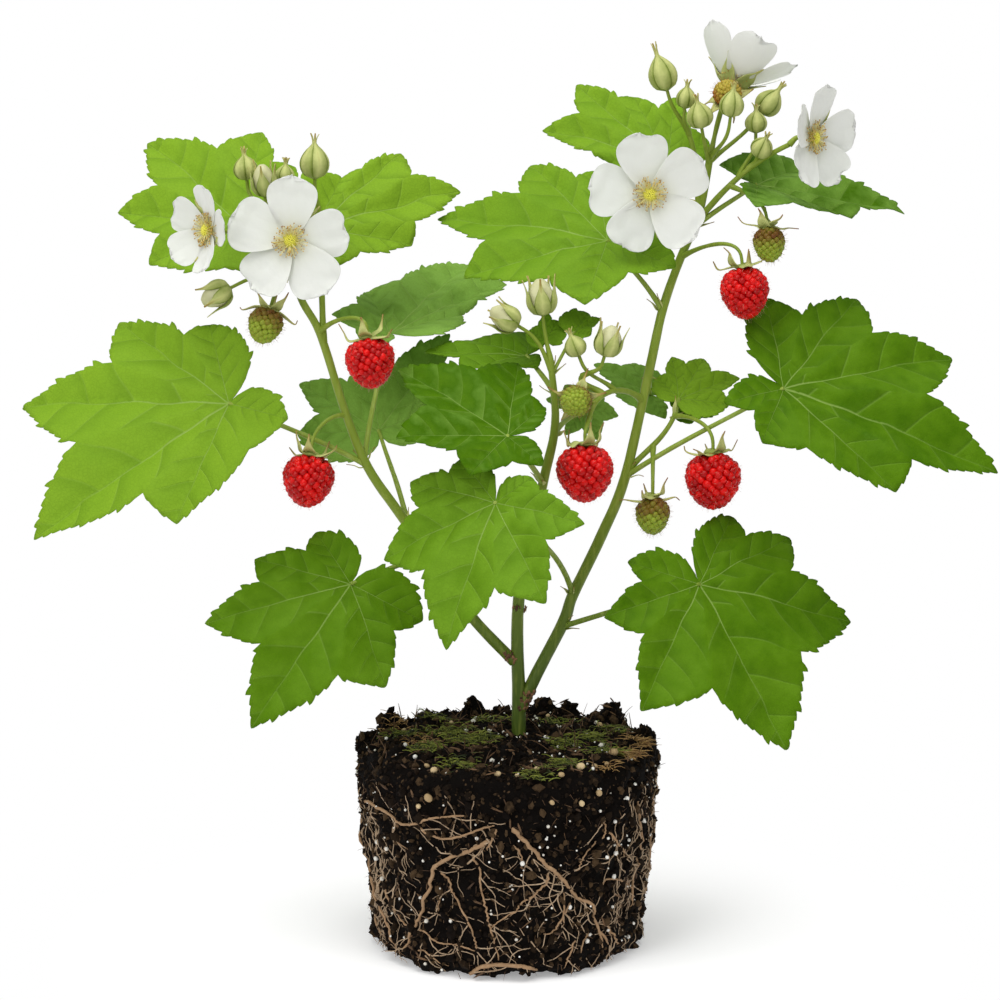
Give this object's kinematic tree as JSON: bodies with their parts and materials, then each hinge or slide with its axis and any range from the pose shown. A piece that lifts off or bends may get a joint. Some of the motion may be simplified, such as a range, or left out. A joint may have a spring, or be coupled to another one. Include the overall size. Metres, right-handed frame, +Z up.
{
  "type": "potted thimbleberry plant",
  "caption": "Thimbleberry plant standing on its bare root ball, with forked canes, broad lobed leaves, white flowers, buds and red and green berries.",
  "frame": {"origin": "middle of the root ball's flat bottom, on the surface that it stands on", "axes": "+Z up; -Y is the plant's front, which shows its flowers; +X is to the right seen from the front, along the plant's widest spread"},
  "size_m": [0.4101, 0.1871, 0.391],
  "materials": {
    "soil": "matte",
    "root": "matte",
    "cane": "satin",
    "leaf": "matte",
    "petal": "matte",
    "ripe": "satin",
    "green": "matte",
    "bud": "matte"
  },
  "bodies": {
    "root": {"root_ball": "soil", "root_back": "root", "root_front_left": "root", "root_front_right": "root", "root_left_side": "root", "root_left_upper": "root", "cane_center": "cane", "cane_left": "cane", "cane_right": "cane", "leaf_left": "leaf", "leaf_lower_left": "leaf", "leaf_lower_right": "leaf", "leaf_right": "leaf", "leaf_front": "leaf", "leaf_middle": "leaf", "leaf_upper_left": "leaf", "leaf_crown_left": "leaf", "leaf_behind_left": "leaf", "leaf_back_left": "leaf", "leaf_inner": "leaf", "leaf_back_middle": "leaf", "leaf_side_shoot": "leaf", "leaf_back_low": "leaf", "leaf_top_left": "leaf", "leaf_upper_middle": "leaf", "leaf_top_right": "leaf", "leaflet_middle": "leaf", "leaflet_tip": "leaf", "leaflet_side": "leaf", "flower_left_front": "petal", "flower_left_side": "petal", "flower_right_front": "petal", "flower_top": "petal", "flower_right_side": "petal", "berry_left_upper": "ripe", "berry_left_lower": "ripe", "berry_middle": "ripe", "berry_right_lower": "ripe", "berry_right_upper": "ripe", "green_berry_left": "green", "green_berry_middle": "green", "green_berry_right_lower": "green", "green_berry_right_upper": "green", "green_berry_top": "green", "bud_left_behind": "bud", "bud_left_opening": "bud", "bud_left_inner": "bud", "bud_left_high": "bud", "bud_left_drooping": "bud", "bud_middle_high": "bud", "bud_middle_left": "bud", "bud_arc_open": "bud", "bud_arc_small": "bud", "bud_top_left": "bud", "bud_top_small": "bud", "bud_top_round": "bud", "bud_top_front": "bud", "bud_top_right": "bud", "bud_right_upper": "bud", "bud_right_lower": "bud"}
  },
  "joints": []
}
